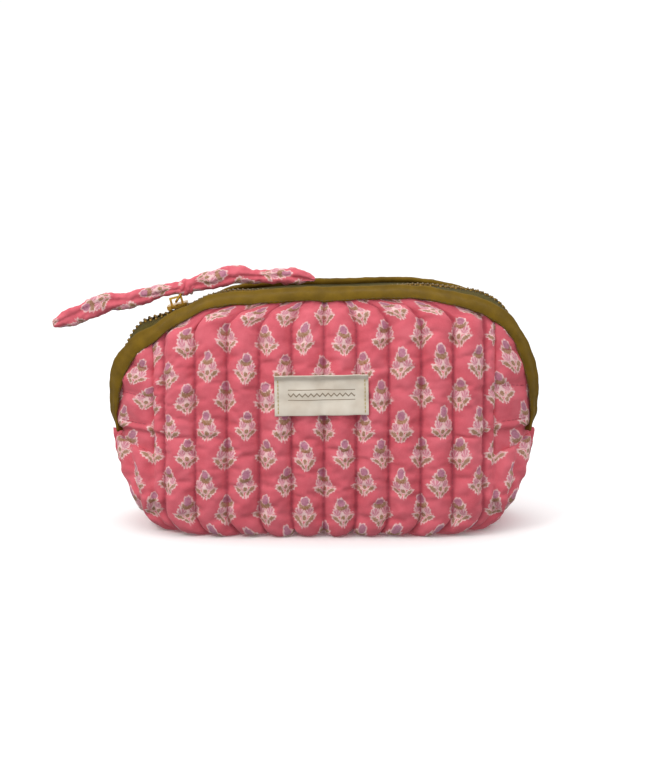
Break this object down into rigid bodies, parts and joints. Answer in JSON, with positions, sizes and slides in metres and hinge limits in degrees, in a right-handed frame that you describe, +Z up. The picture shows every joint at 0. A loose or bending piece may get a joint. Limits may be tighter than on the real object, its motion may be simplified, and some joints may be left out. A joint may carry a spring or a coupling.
{
  "type": "makeup bag",
  "caption": "Quilted cotton makeup bag with a flat base, an arched metal zip between two bound edges, a woven label on the front and a padded tie on the zip pull.",
  "frame": {"origin": "middle of the base, on the surface that the bag stands on", "axes": "+X along the width, to the right from the front; +Y to the back; +Z up"},
  "size_m": [0.2623, 0.083, 0.14],
  "materials": {
    "printed_cotton": "matt block-printed cotton",
    "wadding": "lofted cotton wadding",
    "lining_cotton": "matt plain cotton",
    "pink_thread": "matt sewing thread",
    "olive_binding": "matt bias binding",
    "olive_thread": "matt sewing thread",
    "zip_tape": "herringbone woven tape",
    "antique_brass": "dark antiqued, worn bright on the edges",
    "gold_brass": "polished",
    "woven_label": "tightly woven satin",
    "gold_thread": "glossy sewing thread"
  },
  "bodies": {
    "base": {"base_outer": "printed_cotton", "base_wadding": "wadding", "base_lining": "lining_cotton", "base_quilting_thread": "pink_thread", "left_gusset_outer": "printed_cotton", "left_gusset_wadding": "wadding", "left_gusset_lining": "lining_cotton", "left_gusset_thread": "pink_thread", "right_gusset_outer": "printed_cotton", "right_gusset_wadding": "wadding", "right_gusset_lining": "lining_cotton", "right_gusset_thread": "pink_thread", "zip_bottom_stop": "antique_brass"},
    "front": {"front_outer": "printed_cotton", "front_wadding": "wadding", "front_lining": "lining_cotton", "front_quilting_thread": "pink_thread", "front_binding": "olive_binding", "front_binding_thread": "olive_thread", "front_zip_tape": "zip_tape", "front_zip_teeth": "antique_brass", "front_top_stop": "antique_brass", "label": "woven_label", "label_thread": "gold_thread"},
    "back": {"back_outer": "printed_cotton", "back_wadding": "wadding", "back_lining": "lining_cotton", "back_quilting_thread": "pink_thread", "back_binding": "olive_binding", "back_binding_thread": "olive_thread", "back_zip_tape": "zip_tape", "back_zip_teeth": "antique_brass", "back_top_stop": "antique_brass"},
    "slider": {"slider_body": "gold_brass", "slider_bridge": "gold_brass"},
    "pull": {"pull_loop": "gold_brass", "tie": "printed_cotton"}
  },
  "joints": [
    {"name": "mouth_front", "type": "hinge", "parent": "base", "child": "front", "pos_m": [0, -0.0412, 0.012], "axis": [1, 0, 0], "range_deg": [0, 14], "deforming": ["front_zip_tape", "front_zip_teeth"]},
    {"name": "mouth_back", "type": "hinge", "parent": "base", "child": "back", "pos_m": [0, 0.0412, 0.012], "axis": [-1, 0, 0], "range_deg": [0, 14]},
    {"name": "zip_travel", "type": "hinge", "parent": "back", "child": "slider", "pos_m": [0, 0, -0.19], "axis": [0, 1, 0], "range_deg": [0, 26.5]},
    {"name": "pull_swing", "type": "hinge", "parent": "slider", "child": "pull", "pos_m": [-0.07926, 0, 0.12096], "axis": [0, 1, 0], "range_deg": [-100, 30], "deforming": ["tie"]}
  ],
  "couplings": [
    {"joint": "mouth_back", "follows": "mouth_front", "ratio": 1},
    {"joint": "zip_travel", "follows": "mouth_front", "ratio": 1.857}
  ]
}
